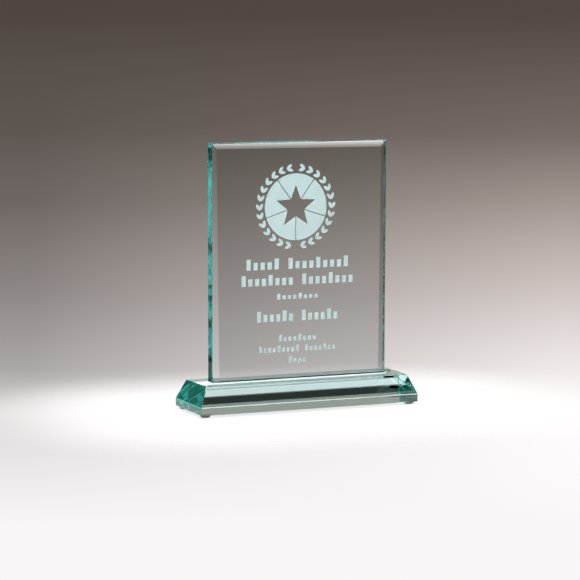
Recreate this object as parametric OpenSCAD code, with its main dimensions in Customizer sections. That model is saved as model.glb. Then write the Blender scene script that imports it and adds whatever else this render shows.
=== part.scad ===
// Jade glass award: a bevelled upright plate bonded on edge to a bevelled glass base.
// Millimetres. +Z is up and the award faces -Y. The origin is on the table, under the middle
// of the base.

/* [Base block] */
// Width of the base, left to right
base_w = 157; // [140:0.5:200]
// Depth of the base, front to back
base_d = 47; // [38:0.5:70]
// Thickness of the glass that the base is cut from
base_h = 18.2; // [15:0.1:26]
// Height of the upright wall that the bevels leave round the base
wall_h = 5.3; // [3:0.1:8]
// How far each bevel leans in between the wall and the top face
base_bevel_in = 5.6; // [2:0.05:8]
// Leg of the arris ground round the underside
under_arris = 0.5; // [0.2:0.1:2]

/* [Upright plate] */
// Width of the plate
plate_w = 125.9; // [116:0.1:140]
// Height of the plate above the base, at the front of its top edge
plate_h = 157.5; // [150:0.1:220]
// Thickness of the plate
plate_t = 8.2; // [6:0.1:10]
// How far forward of the middle of the base the plate stands
plate_forward = 0.5; // [-3:0.1:3]
// How much higher the ground top edge is at the back of the plate than in front
top_rise = 0.5; // [0:0.1:1]
// Angle of the front bevels from the face of the plate
bevel_angle = 10; // [6:0.5:20]
// Width of the left bevel at the top of the plate
left_bevel_top = 2.8; // [2:0.1:6]
// Width of the left bevel at the foot of the plate
left_bevel_foot = 4.8; // [2:0.1:7]
// Width of the right bevel at the top of the plate
right_bevel_top = 4.3; // [2:0.1:6]
// Width of the right bevel at the foot of the plate
right_bevel_foot = 5.5; // [2:0.1:7]
// Width of the top bevel at its left end
top_bevel_left = 3; // [2:0.1:6]
// Width of the top bevel at its right end
top_bevel_right = 4; // [2:0.1:6]
// Thickness of the cured adhesive between plate and base
film_t = 0.12; // [0.05:0.01:0.3]

/* [Polished edges] */
// Width of the narrow arris on the edges of the base
base_arris = 0.6; // [0.2:0.05:0.8]
// Width of the narrow arris on the back and corner edges of the plate
plate_arris = 0.4; // [0.2:0.05:0.8]
// Width of the narrow arris where the top bevel meets the top edge or a side bevel
bevel_arris = 0.3; // [0.1:0.05:0.5]
// Width of the facet between each side bevel and the plate's edge
edge_facet = 1.1; // [0.3:0.05:1.5]

/* [Etching in the back of the plate] */
// Depth of the sand-carved recesses
etch_depth = 0.4; // [0.2:0.05:1]
// Height of the emblem's centre above the base
emblem_up = 114.4; // [112:0.2:117]
// Sideways place of the emblem's centre
emblem_x = -1.4; // [-4:0.1:4]
// Radius of the emblem's disc
disc_r = 22.3; // [18:0.1:22.6]
// Radius to the points of the clear star
star_r = 14.9; // [8:0.1:16]
// Width of the clear rays between the star and the rim
ray_w = 0.7; // [0.4:0.05:1.5]
// Radius of the wreath's stem line
wreath_r = 26.1; // [25.8:0.1:27]
// Length of one leaf of the wreath
leaf_l = 4.9; // [3:0.1:5]
// Pairs of leaves on each side of the wreath
leaf_pairs = 13; // [5:1:14]

/* [Feet] */
// Diameter of each clear bumper foot
foot_d = 8; // [5:0.5:8.5]
// Height of each clear bumper foot
foot_h = 1.6; // [1:0.1:3]
// How far each foot's centre lies in from the sides of the base
foot_in = 4.8; // [4.8:0.1:12]

/* [Hidden] */
$fn = 64;

reach = 400;                          // longer than any cut through the award
over = 0.5;                           // how far a cutter or a blank stands out past a finished face
base_half = [base_w / 2, base_d / 2];
base_z = foot_h;                      // underside of the base
base_top = base_z + base_h;
plate_z = base_top + film_t;          // foot of the plate
plate_half = plate_w / 2;
face_y = -plate_t / 2 - plate_forward;  // front face of the plate
back_y = face_y + plate_t;
front = [0, -1, 0];
up = [0, 0, 1];

// Corners of the flat panel that the front bevels leave, from the left foot clockwise.
panel = [[-plate_half + left_bevel_foot, face_y, plate_z],
         [-plate_half + left_bevel_top, face_y, plate_z + plate_h - top_bevel_left],
         [plate_half - right_bevel_top, face_y, plate_z + plate_h - top_bevel_right],
         [plate_half - right_bevel_foot, face_y, plate_z]];

// Rows of plain marks that stand in for an inscription. Each has the height of its foot line,
// the height of its tall marks, its full width, and how many marks are in each group.
rows = [[73.1, 7.2, 73.6, [5, 9]],
        [62.3, 7.2, 80.6, [8, 8]],
        [52.8, 3.8, 29.4, [8]],
        [38.0, 7.2, 58.4, [6, 6]],
        [24.5, 4.4, 26.8, [8]],
        [17.4, 4.4, 55.4, [9, 7]],
        [9.7, 4.4, 12.4, [4]]];
low_mark = 0.68;                      // height of a low mark as a share of a tall one
mark_fill = 0.58;                     // width of a mark as a share of the pitch
facet_lean = 0.52;                    // share of the edge's direction in the facet's
star_waist = 0.42;                    // inner radius of the star as a share of the outer
leaf_tilt = 28;                       // angle between a leaf and the stem line
leaf_slim = 2.3;                      // length of a leaf over its width
wreath_from = -82;                    // where the wreath's leaves begin and end,
wreath_to = 76;                       // as angles above the emblem's centre

function unit(v) = v / norm(v);
function sides() = [[1, 0], [0, 1], [-1, 0], [0, -1]];
function wall_normal(s) = [s.x, s.y, 0];
function wall_foot(s) = [s.x * base_half.x, s.y * base_half.y, base_z];
function base_bevel_normal(s) = unit([s.x * (base_h - wall_h), s.y * (base_h - wall_h), base_bevel_in]);
function base_bevel_foot(s) = wall_foot(s) + [0, 0, wall_h];
function base_bevel_head(s) = wall_foot(s) + [-s.x * base_bevel_in, -s.y * base_bevel_in, base_h];
// Outward normal of a front bevel whose panel edge runs from a to b.
function front_bevel_normal(a, b) =
    let (out = cross(front, unit(b - a))) unit(front * cos(bevel_angle) + out * sin(bevel_angle));

// Everything on the outer side of the plane through p with outward normal n.
module beyond(p, n) {
    translate(p) rotate([0, acos(n.z), atan2(n.y, n.x)])
        translate([-reach, -reach, 0]) cube([2 * reach, 2 * reach, reach]);
}

// The sliver that an arris of width w takes off the edge through p between two faces.
module arris(p, n1, n2, w) {
    beyond(p - unit(n1 + n2) * (w / 2) * tan(acos(n1 * n2) / 2), unit(n1 + n2));
}

// A facet of width w on the edge through p, turned more to the bevel than to the plate's edge.
module leaning_facet(p, edge_normal, bevel_normal, w) {
    n = unit(edge_normal * facet_lean + bevel_normal);
    in_edge = acos(n * edge_normal);
    in_bevel = acos(n * bevel_normal);
    beyond(p - n * w / (1 / tan(in_edge) + 1 / tan(in_bevel)), n);
}

// Glass block with a wide bevel on all four sides of its top.
module base_block() {
    color([0.55, 0.80, 0.76, 0.6])
    difference() {
        translate([-base_half.x, -base_half.y, base_z]) cube([base_w, base_d, base_h]);
        for (i = [0:3]) {
            s = sides()[i];
            t = sides()[(i + 1) % 4];
            wall_corner = wall_foot(s) + wall_foot(t) - [0, 0, base_z];
            bevel_corner = wall_corner + [-(s + t).x * base_bevel_in, -(s + t).y * base_bevel_in, base_h];
            beyond(base_bevel_foot(s), base_bevel_normal(s));
            arris(base_bevel_head(s), base_bevel_normal(s), up, base_arris);
            arris(base_bevel_foot(s), base_bevel_normal(s), wall_normal(s), base_arris);
            arris(wall_foot(s), wall_normal(s), -up, under_arris * sqrt(2));
            arris(wall_corner, wall_normal(s), wall_normal(t), base_arris);
            arris(bevel_corner, base_bevel_normal(s), base_bevel_normal(t), base_arris);
        }
    }
}

// Lens-shaped leaf that lies along X.
module leaf() {
    half_w = leaf_l / leaf_slim / 2;
    r = (pow(leaf_l / 2, 2) + half_w * half_w) / (2 * half_w);
    intersection() {
        translate([0, r - half_w]) circle(r);
        translate([0, half_w - r]) circle(r);
    }
}

// Two leaves that spread from the stem line, for every step up one side of the wreath.
module wreath_side() {
    for (i = [0:leaf_pairs - 1]) {
        angle = wreath_from + (wreath_to - wreath_from) * i / (leaf_pairs - 1);
        rotate(angle) translate([wreath_r, 0]) rotate(90)
            for (side = [-1, 1])
                rotate(side * leaf_tilt) translate([leaf_l / 2 - 0.3, side * 0.1]) leaf();
    }
}

module star(r) {
    polygon([for (i = [0:9]) let (d = i % 2 == 0 ? r : r * star_waist)
        [d * sin(36 * i), d * cos(36 * i)]]);
}

// Disc round a clear star, with clear rays from the star's waist to the rim.
module emblem() {
    difference() {
        circle(disc_r, $fn = 128);
        star(star_r);
        for (i = [0:4])
            rotate(-36 - 72 * i) translate([-ray_w / 2, star_r * star_waist - 1]) square([ray_w, disc_r]);
    }
    wreath_side();
    mirror([1, 0]) wreath_side();
}

// One row of plain upright marks: the first of each group is tall, and so is every fourth after it.
module mark_row(foot, tall, width, groups) {
    slots = groups[0] + (len(groups) > 1 ? groups[1] + 1 : 0);
    pitch = width / (slots - 1 + mark_fill);
    for (g = [0:len(groups) - 1], i = [0:groups[g] - 1]) {
        slot = i + (g == 0 ? 0 : groups[0] + 1);
        high = tall * (i % 4 == 0 ? 1 : low_mark);
        translate([-width / 2 + slot * pitch, foot]) square([pitch * mark_fill, high]);
    }
}

module etching() {
    translate([emblem_x, emblem_up]) emblem();
    for (row = rows) mark_row(row[0], row[1], row[2], row[3]);
}

// Upright plate, bevelled in front on its sides and top, and sand-carved from behind.
module award_plate() {
    side = [[-1, 0, 0], [1, 0, 0]];
    bevels = [for (i = [0:2]) front_bevel_normal(panel[i], panel[i + 1])];
    foot_width = [left_bevel_foot, right_bevel_foot];
    lip = tan(bevel_angle);           // depth of a bevel at the edge over its width
    top_z = plate_z + plate_h;
    top_front = [0, face_y, top_z];
    top_back = [0, back_y, top_z + top_rise];
    top = unit([0, -top_rise, plate_t]);
    color([0.80, 0.90, 0.88, 0.5])
    difference() {
        translate([-plate_half, face_y, plate_z]) cube([plate_w, plate_t, plate_h + top_rise + over]);
        beyond(top_front, top);
        for (i = [0:2]) beyond(panel[i], bevels[i]);
        for (k = [0:1]) {
            edge_x = side[k].x * plate_half;
            arris([edge_x, back_y, plate_z], side[k], -front, plate_arris);
            arris([edge_x, face_y, top_z], side[k], top, plate_arris);
            leaning_facet([edge_x, face_y + foot_width[k] * lip, plate_z], side[k], bevels[2 * k], edge_facet);
            arris(panel[1 + k], bevels[1], bevels[2 * k], bevel_arris);
        }
        arris(top_back, top, -front, plate_arris);
        arris([-plate_half, face_y + top_bevel_left * lip, top_z], top, bevels[1], bevel_arris);
        translate([0, back_y + over, base_top]) rotate([90, 0, 0])
            linear_extrude(etch_depth + over) etching();
    }
}

// Clear film of ultraviolet-cured adhesive, a little short of the plate's foot all round.
module bond_film() {
    short = 0.3;
    half = plate_half - short;
    corner = edge_facet;              // how far the film draws back at the front corners
    left = [half - left_bevel_foot, face_y + short + left_bevel_foot * tan(bevel_angle)];
    right = [half - right_bevel_foot, face_y + short + right_bevel_foot * tan(bevel_angle)];
    color([0.9, 0.95, 0.95, 0.5])
    translate([0, 0, base_top]) linear_extrude(film_t)
        polygon([[-half, back_y - short], [half, back_y - short],
                 [half, right.y + corner], [half - corner, right.y], [right.x, face_y + short],
                 [-left.x, face_y + short], [-half + corner, left.y], [-half, left.y + corner]]);
}

// Clear bumper: a dome cut flat where it stands and where it sticks to the base.
module foot(x, y) {
    top_r = foot_d / 2;
    tread_r = top_r * 0.65;
    centre_z = (top_r * top_r + foot_h * foot_h - tread_r * tread_r) / (2 * foot_h);
    color([0.92, 0.95, 0.95, 0.5])
    translate([x, y, 0]) intersection() {
        cylinder(r = top_r + 1, h = foot_h);
        translate([0, 0, centre_z]) sphere(sqrt(tread_r * tread_r + centre_z * centre_z));
    }
}

foot_x = base_half.x - foot_in;
foot_y = base_half.y - foot_in;

base_block();
award_plate();
bond_film();
foot(-foot_x, -foot_y);  // foot_front_left
foot(foot_x, -foot_y);  // foot_front_right
foot(-foot_x, foot_y);  // foot_back_left
foot(foot_x, foot_y);  // foot_back_right
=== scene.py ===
"""Jade glass award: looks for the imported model, with a pale studio round it. Metres throughout."""
import math

import bpy
from mathutils import Matrix, Vector

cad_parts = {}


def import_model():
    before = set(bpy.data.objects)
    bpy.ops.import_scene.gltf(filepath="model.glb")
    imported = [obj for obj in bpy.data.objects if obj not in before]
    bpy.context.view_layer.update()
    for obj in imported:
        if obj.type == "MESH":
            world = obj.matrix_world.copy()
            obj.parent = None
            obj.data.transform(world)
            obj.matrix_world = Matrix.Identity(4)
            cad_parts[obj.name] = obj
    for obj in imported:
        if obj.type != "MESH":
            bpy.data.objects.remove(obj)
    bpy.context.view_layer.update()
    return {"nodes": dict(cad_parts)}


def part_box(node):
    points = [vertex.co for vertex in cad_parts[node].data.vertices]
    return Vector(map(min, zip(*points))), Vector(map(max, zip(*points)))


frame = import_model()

NODES = frame["nodes"]
MM = 0.001

# ---------------------------------------------------------------- node helpers


def link(tree, value, socket):
    """Feed a socket from another socket or set it to a plain value."""
    if isinstance(value, bpy.types.NodeSocket):
        tree.links.new(value, socket)
    else:
        socket.default_value = value


def new_material(name):
    """An empty node material: the material, its tree and its output node."""
    mat = bpy.data.materials.new(name)
    mat.use_nodes = True
    tree = mat.node_tree
    tree.nodes.clear()
    return mat, tree, tree.nodes.new("ShaderNodeOutputMaterial")


def principled(tree, out, **settings):
    """A Principled shader whose inputs are named with underscores for spaces."""
    shader = tree.nodes.new("ShaderNodeBsdfPrincipled")
    for name, value in settings.items():
        link(tree, value, shader.inputs[name.replace("_", " ")])
    tree.links.new(shader.outputs[0], out.inputs["Surface"])
    return shader


def maths(tree, operation, *values):
    """A Math node whose inputs are numbers or sockets."""
    node = tree.nodes.new("ShaderNodeMath")
    node.operation = operation
    for socket, value in zip(node.inputs, values):
        link(tree, value, socket)
    return node.outputs[0]


def mixed(tree, factor, a, b):
    """A Mix node from colour a to colour b; each of them is a plain value or a socket."""
    node = tree.nodes.new("ShaderNodeMix")
    node.data_type = "RGBA"
    for socket, value in zip([s for s in node.inputs if s.enabled], (factor, a, b)):
        link(tree, value, socket)
    return next(s for s in node.outputs if s.enabled)


def object_coords(tree):
    return tree.nodes.new("ShaderNodeTexCoord").outputs["Object"]


def split(tree, vector):
    axes = tree.nodes.new("ShaderNodeSeparateXYZ")
    tree.links.new(vector, axes.inputs[0])
    return axes.outputs


def noise(tree, size, stretch=(1, 1, 1), detail=2.0):
    """Noise with features about `size` metres across, drawn out by `stretch` along each axis."""
    scaled = tree.nodes.new("ShaderNodeVectorMath")
    scaled.operation = "MULTIPLY"
    tree.links.new(object_coords(tree), scaled.inputs[0])
    scaled.inputs[1].default_value = [1 / (size * s) for s in stretch]
    node = tree.nodes.new("ShaderNodeTexNoise")
    node.inputs["Scale"].default_value = 1.0
    node.inputs["Detail"].default_value = detail
    tree.links.new(scaled.outputs[0], node.inputs["Vector"])
    return node.outputs["Fac"]


def ramp(tree, factor, *stops):
    """A colour ramp through (place, colour) stops."""
    node = tree.nodes.new("ShaderNodeValToRGB")
    elements = node.color_ramp.elements
    while len(elements) < len(stops):
        elements.new(0.5)
    for element, (place, colour) in zip(elements, stops):
        element.position = place
        element.color = colour
    tree.links.new(factor, node.inputs[0])
    return node


def smoothstep(tree, value, start, end, low=0.0, high=1.0):
    """`low` up to `start`, `high` from `end`, and a smooth change between."""
    node = tree.nodes.new("ShaderNodeMapRange")
    node.interpolation_type = "SMOOTHSTEP"
    node.inputs["From Min"].default_value = start
    node.inputs["From Max"].default_value = end
    node.inputs["To Min"].default_value = low
    node.inputs["To Max"].default_value = high
    tree.links.new(value, node.inputs["Value"])
    return node.outputs["Result"]


def bump(tree, height, distance):
    """A normal bent by a height socket, whose unit stands for `distance` metres."""
    node = tree.nodes.new("ShaderNodeBump")
    node.inputs["Strength"].default_value = 1.0
    node.inputs["Distance"].default_value = distance
    tree.links.new(height, node.inputs["Height"])
    return node.outputs["Normal"]


# ---------------------------------------------------------------- glass

# Each piece of glass wears one material, since its inside has to be the same all through. The
# places on a piece that look different are told apart by where they lie.
GLASS_IOR = 1.52
ABSORB = (10.5, 5.3, 5.4)             # absorbed per metre of glass, red, green and blue
SKIN = 0.03 * MM                      # how close a point must lie to a face to count as on it
CLEAR = (1, 1, 1, 1)
BLACK = (0, 0, 0, 1)


def glass(name, colour, height, **settings):
    """Float glass with a colour, and a height in metres that bends its surface."""
    mat, tree, out = new_material(name)
    look = dict(Roughness=0.0, Transmission_Weight=1.0)
    look.update({k: v(tree) for k, v in settings.items()})
    principled(tree, out, Base_Color=colour(tree), IOR=GLASS_IOR, Normal=bump(tree, height(tree), 1.0),
               **look)
    volume = tree.nodes.new("ShaderNodeVolumeAbsorption")
    volume.inputs["Density"].default_value = max(ABSORB)
    volume.inputs["Color"].default_value = (*[1 - a / max(ABSORB) for a in ABSORB], 1)
    tree.links.new(volume.outputs[0], out.inputs["Volume"])
    return mat


def over(tree, value, limit):
    """1 where a value is over a limit, else 0."""
    return maths(tree, "GREATER_THAN", value, limit)


def under(tree, value, limit):
    """1 where a value is under a limit, else 0."""
    return maths(tree, "LESS_THAN", value, limit)


def both(tree, *masks):
    """The product of masks: 1 where every one of them holds."""
    result = masks[0]
    for mask in masks[1:]:
        result = maths(tree, "MULTIPLY", result, mask)
    return result


END_PAINTED_SHADE = (0.10, 0.86, 0.74, 1)      # ends of the base: painted shade, a deeper jade than the glass's own absorption gives them
END_PAINTED_GLOW = (0.0, 0.075, 0.055, 1)     # painted glow on the ends of the base, standing in for light that has travelled the length of the glass
# the top of the base is tinted in blotches of cyan, darker than the clear glass
TOP_MOTTLE = (0.36, (0.62, 0.85, 0.83, 1)), (0.64, (0.86, 0.95, 0.95, 1))
MOTTLE_SIZE = 1.6 * MM
SMEAR_SIZE, SMEAR_HEIGHT = 2.2 * MM, 0.04 * MM
WALL_HEIGHT = 5.3 * MM                # of the base's outer wall, below its bevels
BEVEL_IN, BEVEL_RISE = 5.6, 12.9      # how far the bevels of the base go in and up, in mm
ARRIS_TILT = 0.12, 0.28               # upward part of the normal of the arris between bevel and wall
ARRIS_ROUGHNESS, ARRIS_OPAQUE = 0.4, 0.7
END_BAND = 0.2 * MM                   # how close a point must lie to an end of the base to count as on it
ARRIS_FLOOR = 2 * MM                  # above the arris of the underside, below that of the bevels


def base_glass():
    low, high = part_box("base_block")

    def on_end(tree):
        x, y, z = split(tree, object_coords(tree))
        rise = maths(tree, "MAXIMUM", maths(tree, "SUBTRACT", z, low.z + WALL_HEIGHT), 0.0)
        reach = maths(tree, "MULTIPLY_ADD", rise, BEVEL_IN / BEVEL_RISE, maths(tree, "ABSOLUTE", x))
        return over(tree, reach, high.x - END_BAND)

    def on_top(tree):
        return over(tree, split(tree, object_coords(tree))[2], high.z - SKIN)

    def on_arris(tree):
        """The satin-ground strip between each bevel and the wall under it."""
        normal = tree.nodes.new("ShaderNodeNewGeometry").outputs["True Normal"]
        tilt = maths(tree, "ABSOLUTE", split(tree, normal)[2])
        return both(tree, over(tree, tilt, ARRIS_TILT[0]), under(tree, tilt, ARRIS_TILT[1]),
                    over(tree, split(tree, object_coords(tree))[2], low.z + ARRIS_FLOOR))

    # painted shade on the ends of the base, and a blotchy tint on its top
    def colour(tree):
        top = ramp(tree, noise(tree, MOTTLE_SIZE, (2.5, 1, 1)), *TOP_MOTTLE).outputs["Color"]
        return mixed(tree, on_top(tree), mixed(tree, on_end(tree), CLEAR, END_PAINTED_SHADE), top)

    def height(tree):
        smears = maths(tree, "MULTIPLY", noise(tree, SMEAR_SIZE, (2.0, 1, 1)), SMEAR_HEIGHT)
        return both(tree, smears, on_top(tree))

    # the ends of the base also get a painted glow
    return glass("base_glass", colour, height,
                 Roughness=lambda tree: maths(tree, "MULTIPLY", on_arris(tree), ARRIS_ROUGHNESS),
                 Transmission_Weight=lambda tree: maths(tree, "MULTIPLY_ADD", on_arris(tree),
                                                        -ARRIS_OPAQUE, 1.0),
                 Emission_Color=lambda tree: mixed(tree, on_end(tree), BLACK, END_PAINTED_GLOW),
                 Emission_Strength=lambda tree: 1.0)


EDGE_PAINTED_SHADE = (0.06, 0.60, 0.53, 1)     # polished sides and top edge of the plate: painted shade, a deep teal tint
# painted glow: pieces of the edges give off a faint teal light, standing in for light from inside the
# plate
EDGE_PAINTED_GLOW = (0.50, BLACK), (0.56, (0.002, 0.08, 0.066, 1))
GLOW_PIECE = 3.0 * MM
RIPPLE_SIZE, RIPPLE_HEIGHT = 3.5 * MM, 0.5 * MM    # polishing marks on the edges
BACK_TINT = (0.60, 0.585, 0.575, 1)   # back of the plate, tinted grey so that what shows through it is darker
BACK_FADE = 4.2 * MM, 1.2 * MM        # distances below the top over which the back's tint ends
FROST_GRAIN = (0.32, (0.55, 0.70, 0.72, 1)), (0.68, (0.97, 1.0, 1.0, 1))   # sand-carved glass
FROST_PAINTED_GLOW = (0.27, 0.33, 0.333, 1)   # painted glow on the sand-carved places, standing in for light that the plate carries to them
FROST_ROUGHNESS, FROST_OPAQUE = 0.8, 0.9
GRAIN_SIZE = 1.6 * MM
PIT_SIZE, PIT_HEIGHT = 0.35 * MM, 0.05 * MM
CARVED_DEPTH = 1.2 * MM               # no recess is deeper, measured from the back
CARVED_HALF = 0.8                     # share of the plate's half width that the recesses keep within
CARVED_MARGIN = 5 * MM                # and their least distance from its foot and top
SIDE_BAND, TOP_BAND = 0.6 * MM, 0.5 * MM    # how far in the facets of the side and top edges reach
SIDE_BEVEL_DEPTH = 0.9 * MM           # the side bevels lie in front of this depth, the edges behind
TOP_BEVEL_DEPTH = 0.8 * MM
BEVEL_WIDTH = 3.5 * MM                # of the top bevel, on average
BEVEL_FOOT = 4.0 * MM                 # its lower edge, below the plate's highest point
BEVEL_TAPER = 1.0 * MM                # how much wider it is at the right than at the left
BLEND_SLOPE = 0.10                    # how much flatter the top bevel is at the panel than at the edge


def plate_glass():
    low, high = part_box("award_plate")

    def carved(tree):
        x, y, z = split(tree, object_coords(tree))
        return both(tree, under(tree, y, high.y - SKIN), over(tree, y, high.y - CARVED_DEPTH),
                    under(tree, maths(tree, "ABSOLUTE", x), CARVED_HALF * high.x),
                    under(tree, z, high.z - CARVED_MARGIN), over(tree, z, low.z + CARVED_MARGIN))

    def on_edge(tree):
        x, y, z = split(tree, object_coords(tree))
        side = both(tree, over(tree, maths(tree, "ABSOLUTE", x), high.x - SIDE_BAND),
                    over(tree, y, low.y + SIDE_BEVEL_DEPTH), under(tree, y, high.y - SKIN))
        return maths(tree, "MAXIMUM", side, over(tree, z, high.z - TOP_BAND))

    def colour(tree):
        x, y, z = split(tree, object_coords(tree))
        back = both(tree, over(tree, y, high.y - SKIN),
                    smoothstep(tree, z, high.z - BACK_FADE[0], high.z - BACK_FADE[1], 1.0, 0.0))
        # painted shade on the plate's edges, and a grey tint on its back
        plain = mixed(tree, on_edge(tree), mixed(tree, back, CLEAR, BACK_TINT), EDGE_PAINTED_SHADE)
        grain = ramp(tree, noise(tree, GRAIN_SIZE, detail=3.0), *FROST_GRAIN).outputs["Color"]
        return mixed(tree, carved(tree), plain, grain)

    def height(tree):
        x, y, z = split(tree, object_coords(tree))
        # the top bevel is round: it flattens towards the panel
        foot = maths(tree, "MULTIPLY_ADD", x, -BEVEL_TAPER / (high.x - low.x), high.z - BEVEL_FOOT)
        up = maths(tree, "SUBTRACT", z, foot)
        fall = maths(tree, "MULTIPLY_ADD", up, -0.5 / BEVEL_WIDTH, 1.0)
        blend = both(tree, maths(tree, "MULTIPLY", up, BLEND_SLOPE), fall, over(tree, up, 0.0),
                     over(tree, y, low.y + SKIN), under(tree, y, low.y + TOP_BEVEL_DEPTH))
        ripple = maths(tree, "MULTIPLY", noise(tree, RIPPLE_SIZE, (1, 1, 2.2)), RIPPLE_HEIGHT)
        pits = maths(tree, "MULTIPLY", noise(tree, PIT_SIZE), PIT_HEIGHT)
        return maths(tree, "ADD", maths(tree, "ADD", blend, both(tree, ripple, on_edge(tree))),
                     both(tree, pits, carved(tree)))

    # painted glow on pieces of the edges and on the sand-carved places
    def glow(tree):
        pieces = ramp(tree, noise(tree, GLOW_PIECE, (1, 1, 2.5), detail=1.0), *EDGE_PAINTED_GLOW)
        edges = mixed(tree, on_edge(tree), BLACK, pieces.outputs["Color"])
        return mixed(tree, carved(tree), edges, FROST_PAINTED_GLOW)

    return glass("plate_glass", colour, height,
                 Roughness=lambda tree: maths(tree, "MULTIPLY", carved(tree), FROST_ROUGHNESS),
                 Transmission_Weight=lambda tree: maths(tree, "MULTIPLY_ADD", carved(tree),
                                                        -FROST_OPAQUE, 1.0),
                 Emission_Color=glow, Emission_Strength=lambda tree: 1.0)


def adhesive():
    """Cured film, clear where it wetted the glass and pale where it didn't."""
    mat, tree, out = new_material("cured_adhesive")
    patches = noise(tree, 3.0 * MM, (1.5, 1, 1), detail=3.0)
    colour = ramp(tree, patches, (0.40, (0.42, 0.78, 0.74, 1)), (0.62, (0.95, 1.0, 1.0, 1)))
    principled(tree, out, Base_Color=colour.outputs["Color"], Roughness=0.3, IOR=1.5,
               Transmission_Weight=0.75)
    return mat


def bumper():
    """Clear soft polyurethane with a faint haze."""
    mat, tree, out = new_material("clear_polyurethane")
    haze = ramp(tree, noise(tree, 1.2 * MM), (0.3, (0.90, 0.95, 0.94, 1)), (0.7, (0.99, 1.0, 1.0, 1)))
    principled(tree, out, Base_Color=haze.outputs["Color"], Roughness=0.12, IOR=1.45,
               Transmission_Weight=0.95)
    return mat


def dress(node, mat):
    """Give the whole of a node one material."""
    mesh = NODES[node].data
    mesh.materials.clear()
    mesh.materials.append(mat)
    for polygon in mesh.polygons:
        polygon.material_index = 0


# ---------------------------------------------------------------- studio

FLOOR_COLOUR = (0.46, 0.45, 0.455, 1)
FLOOR_GLOW = (1.0, 0.985, 0.99, 1)    # the floor is a light table, so the award casts hardly a shadow
GLOW_STRENGTH = 0.62
FLOOR_RADIUS = 0.6
FADE_FROM, FADE_TO = 0.01, 0.16       # distances from the base over which the floor gives way


def floor():
    """A pale disc that gives way to the backdrop's own tone a little way out from the base."""
    count = 96
    turns = [2 * math.pi * i / count for i in range(count)]
    mesh = bpy.data.meshes.new("floor")
    mesh.from_pydata([(FLOOR_RADIUS * math.cos(t), FLOOR_RADIUS * math.sin(t), 0) for t in turns],
                     [], [list(range(count))])
    obj = bpy.data.objects.new("floor", mesh)
    bpy.context.scene.collection.objects.link(obj)
    mat, tree, out = new_material("floor")
    low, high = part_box("base_block")
    x, y, z = split(tree, object_coords(tree))
    beyond = [maths(tree, "MAXIMUM", maths(tree, "SUBTRACT", maths(tree, "ABSOLUTE", axis), half), 0.0)
              for axis, half in ((x, high.x), (y, high.y))]
    squares = maths(tree, "ADD", *[maths(tree, "POWER", b, 2.0) for b in beyond])
    paint = principled(tree, out, Base_Color=FLOOR_COLOUR, Roughness=0.6, Specular_IOR_Level=0.2,
                       Emission_Color=FLOOR_GLOW, Emission_Strength=GLOW_STRENGTH)
    clear = tree.nodes.new("ShaderNodeBsdfTransparent")
    mix = tree.nodes.new("ShaderNodeMixShader")
    link(tree, smoothstep(tree, maths(tree, "SQRT", squares), FADE_FROM, FADE_TO), mix.inputs[0])
    tree.links.new(paint.outputs[0], mix.inputs[1])
    tree.links.new(clear.outputs[0], mix.inputs[2])
    tree.links.new(mix.outputs[0], out.inputs["Surface"])
    mesh.materials.append(mat)


def srgb(*values):
    """Linear colour of 8-bit display values."""
    return tuple((v / 255 / 12.92) if v <= 10 else ((v / 255 + 0.055) / 1.055) ** 2.4 for v in values)


def towards(azimuth, elevation):
    """Unit vector at an azimuth from +Y towards +X and an elevation, in degrees."""
    a, e = math.radians(azimuth), math.radians(elevation)
    return Vector((math.sin(a) * math.cos(e), math.cos(a) * math.cos(e), math.sin(e)))


# elevation in degrees, the backdrop's display colour there, and how much it brightens sideways
BACKDROP = [(-12, (249, 246, 247), 0.0), (-9.6, (240, 236, 237), 0.4), (-8.6, (209, 204, 203), 0.9),
            (-7, (180, 172, 169), 1.0), (-5, (139, 130, 125), 1.0), (-3.5, (107, 98, 93), 0.6),
            (-1, (81, 72, 67), 0.1), (1, (76, 68, 63), 0.0), (3, (96, 90, 84), 0.0),
            (7.5, (174, 168, 158), 0.0), (10.5, (174, 168, 158), 0.0), (13, (120, 116, 108), 0.0),
            (17, (60, 66, 60), 0.0), (26, (48, 54, 50), 0.0)]
SIDE_SLOPE = 4.0          # share by which the backdrop brightens per unit of sideways direction
LIT_FROM, LIT_TO = 22, 38  # degrees to each side over which the lit backdrop gives way to the room
ROOM_SHARE = 0.25         # brightness of the room round the backdrop, above the floor

# windows high in front and to the right: azimuth, elevation, radius in degrees, strength
WINDOWS = [(164, 38, 9.0, 1.5), (119, 52, 15.0, 1.2)]
WINDOW_RIM = 1.5          # degrees over which a window's edge fades


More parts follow.
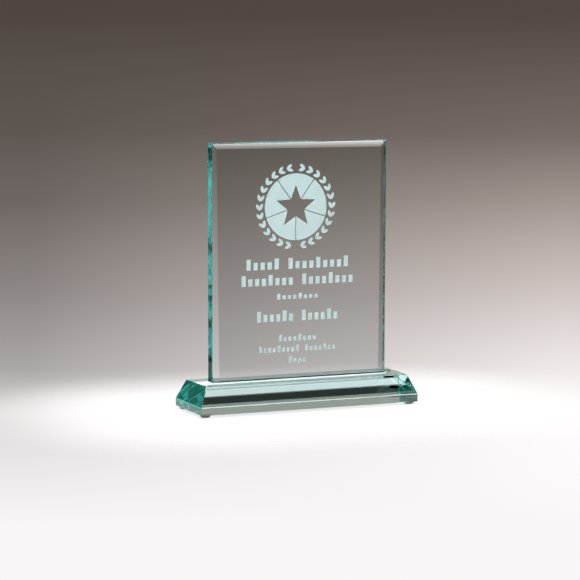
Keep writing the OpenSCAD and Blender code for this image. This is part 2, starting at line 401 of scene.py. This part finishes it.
def world():
    """A backdrop that darkens upwards behind the award, and a darker room with windows in front."""
    w = bpy.data.worlds.new("studio")
    bpy.context.scene.world = w
    w.use_nodes = True
    tree = w.node_tree
    tree.nodes.clear()
    out = tree.nodes.new("ShaderNodeOutputWorld")
    direction = tree.nodes.new("ShaderNodeTexCoord").outputs["Generated"]

    def along(vector):
        dot = tree.nodes.new("ShaderNodeVectorMath")
        dot.operation = "DOT_PRODUCT"
        tree.links.new(direction, dot.inputs[0])
        dot.inputs[1].default_value = vector
        return dot.outputs["Value"]

    elevation = maths(tree, "MULTIPLY", maths(tree, "ARCSINE", along((0, 0, 1))), 180 / math.pi)
    low, high = BACKDROP[0][0], BACKDROP[-1][0]
    place = maths(tree, "DIVIDE", maths(tree, "SUBTRACT", elevation, low), high - low)
    tones = ramp(tree, place, *[((degrees - low) / (high - low), (*srgb(*colour), side))
                                for degrees, colour, side in BACKDROP])
    across = along(towards(VIEW_AZIMUTH + 90, 0))
    across = maths(tree, "MAXIMUM", maths(tree, "MINIMUM", across, 0.1), -0.1)
    side = maths(tree, "MULTIPLY", maths(tree, "MULTIPLY", across, SIDE_SLOPE), tones.outputs["Alpha"])
    behind = smoothstep(tree, along(towards(VIEW_AZIMUTH, 0)), math.cos(math.radians(LIT_TO)),
                        math.cos(math.radians(LIT_FROM)), ROOM_SHARE, 1.0)
    low_down = smoothstep(tree, elevation, -11.0, -7.0, 1.0, 0.0)
    strength = maths(tree, "MULTIPLY", maths(tree, "ADD", side, 1.0),
                     maths(tree, "MAXIMUM", behind, low_down))
    room = tree.nodes.new("ShaderNodeBackground")
    tree.links.new(tones.outputs["Color"], room.inputs["Color"])
    tree.links.new(strength, room.inputs["Strength"])
    total = room.outputs[0]
    for azimuth, height, radius, power in WINDOWS:
        window = tree.nodes.new("ShaderNodeBackground")
        link(tree, smoothstep(tree, along(towards(azimuth, height)), math.cos(math.radians(radius)),
                              math.cos(math.radians(radius - WINDOW_RIM)), 0.0, power),
             window.inputs["Strength"])
        window.inputs["Color"].default_value = CLEAR
        added = tree.nodes.new("ShaderNodeAddShader")
        tree.links.new(total, added.inputs[0])
        tree.links.new(window.outputs[0], added.inputs[1])
        total = added.outputs[0]
    tree.links.new(total, out.inputs["Surface"])


# name, place, what it points at, size, power in watts
LIGHTS = [("top_light", (0.1, 0.1, 1.3), (0, 0, 0.08), (1.2, 1.2), 19),
          ("front_light", (-0.85, -1.25, 0.6), (0, 0, 0.09), (0.8, 0.6), 14)]


def soft_box(name, place, aim, size, power):
    """A rectangular area light."""
    data = bpy.data.lights.new(name, "AREA")
    data.shape = "RECTANGLE"
    data.size, data.size_y = size
    data.energy = power
    lamp = bpy.data.objects.new(name, data)
    bpy.context.scene.collection.objects.link(lamp)
    lamp.location = place
    lamp.rotation_mode = "QUATERNION"
    lamp.rotation_quaternion = (Vector(aim) - Vector(place)).to_track_quat("-Z", "Y")


# ---------------------------------------------------------------- camera

VIEW_AZIMUTH = 23.46      # direction of view, from +Y towards +X
VIEW_ELEVATION = 6.93     # how far the camera looks down
VIEW_DISTANCE = 1.767
VIEW_ROLL = 0.188
LENS, SENSOR = 164.2, 36
SIDE_SHIFT = -0.0133
AIM = Vector((0, 0, 0.0784))


def camera():
    data = bpy.data.cameras.new("camera")
    data.sensor_width = SENSOR
    data.lens = LENS
    data.shift_x = SIDE_SHIFT
    data.clip_start = 0.05
    cam = bpy.data.objects.new("camera", data)
    bpy.context.scene.collection.objects.link(cam)
    back = -towards(VIEW_AZIMUTH, -VIEW_ELEVATION)
    right = (-back).cross(Vector((0, 0, 1))).normalized()
    level = Matrix((right, right.cross(-back), back)).transposed()
    cam.rotation_mode = "QUATERNION"
    cam.rotation_quaternion = (level @ Matrix.Rotation(math.radians(VIEW_ROLL), 3, "Z")).to_quaternion()
    cam.location = AIM + back * VIEW_DISTANCE
    bpy.context.scene.camera = cam


# ---------------------------------------------------------------- everything together

dress("base_block", base_glass())
dress("award_plate", plate_glass())
dress("bond_film", adhesive())
clear_bumper = bumper()
for node_name in NODES:
    if node_name.startswith("foot_"):
        dress(node_name, clear_bumper)

floor()
world()
for light in LIGHTS:
    soft_box(*light)
camera()

scene = bpy.context.scene
scene.view_settings.view_transform = "Standard"
scene.cycles.max_bounces = 32
scene.cycles.transmission_bounces = 32
scene.cycles.glossy_bounces = 24
scene.cycles.transparent_max_bounces = 16
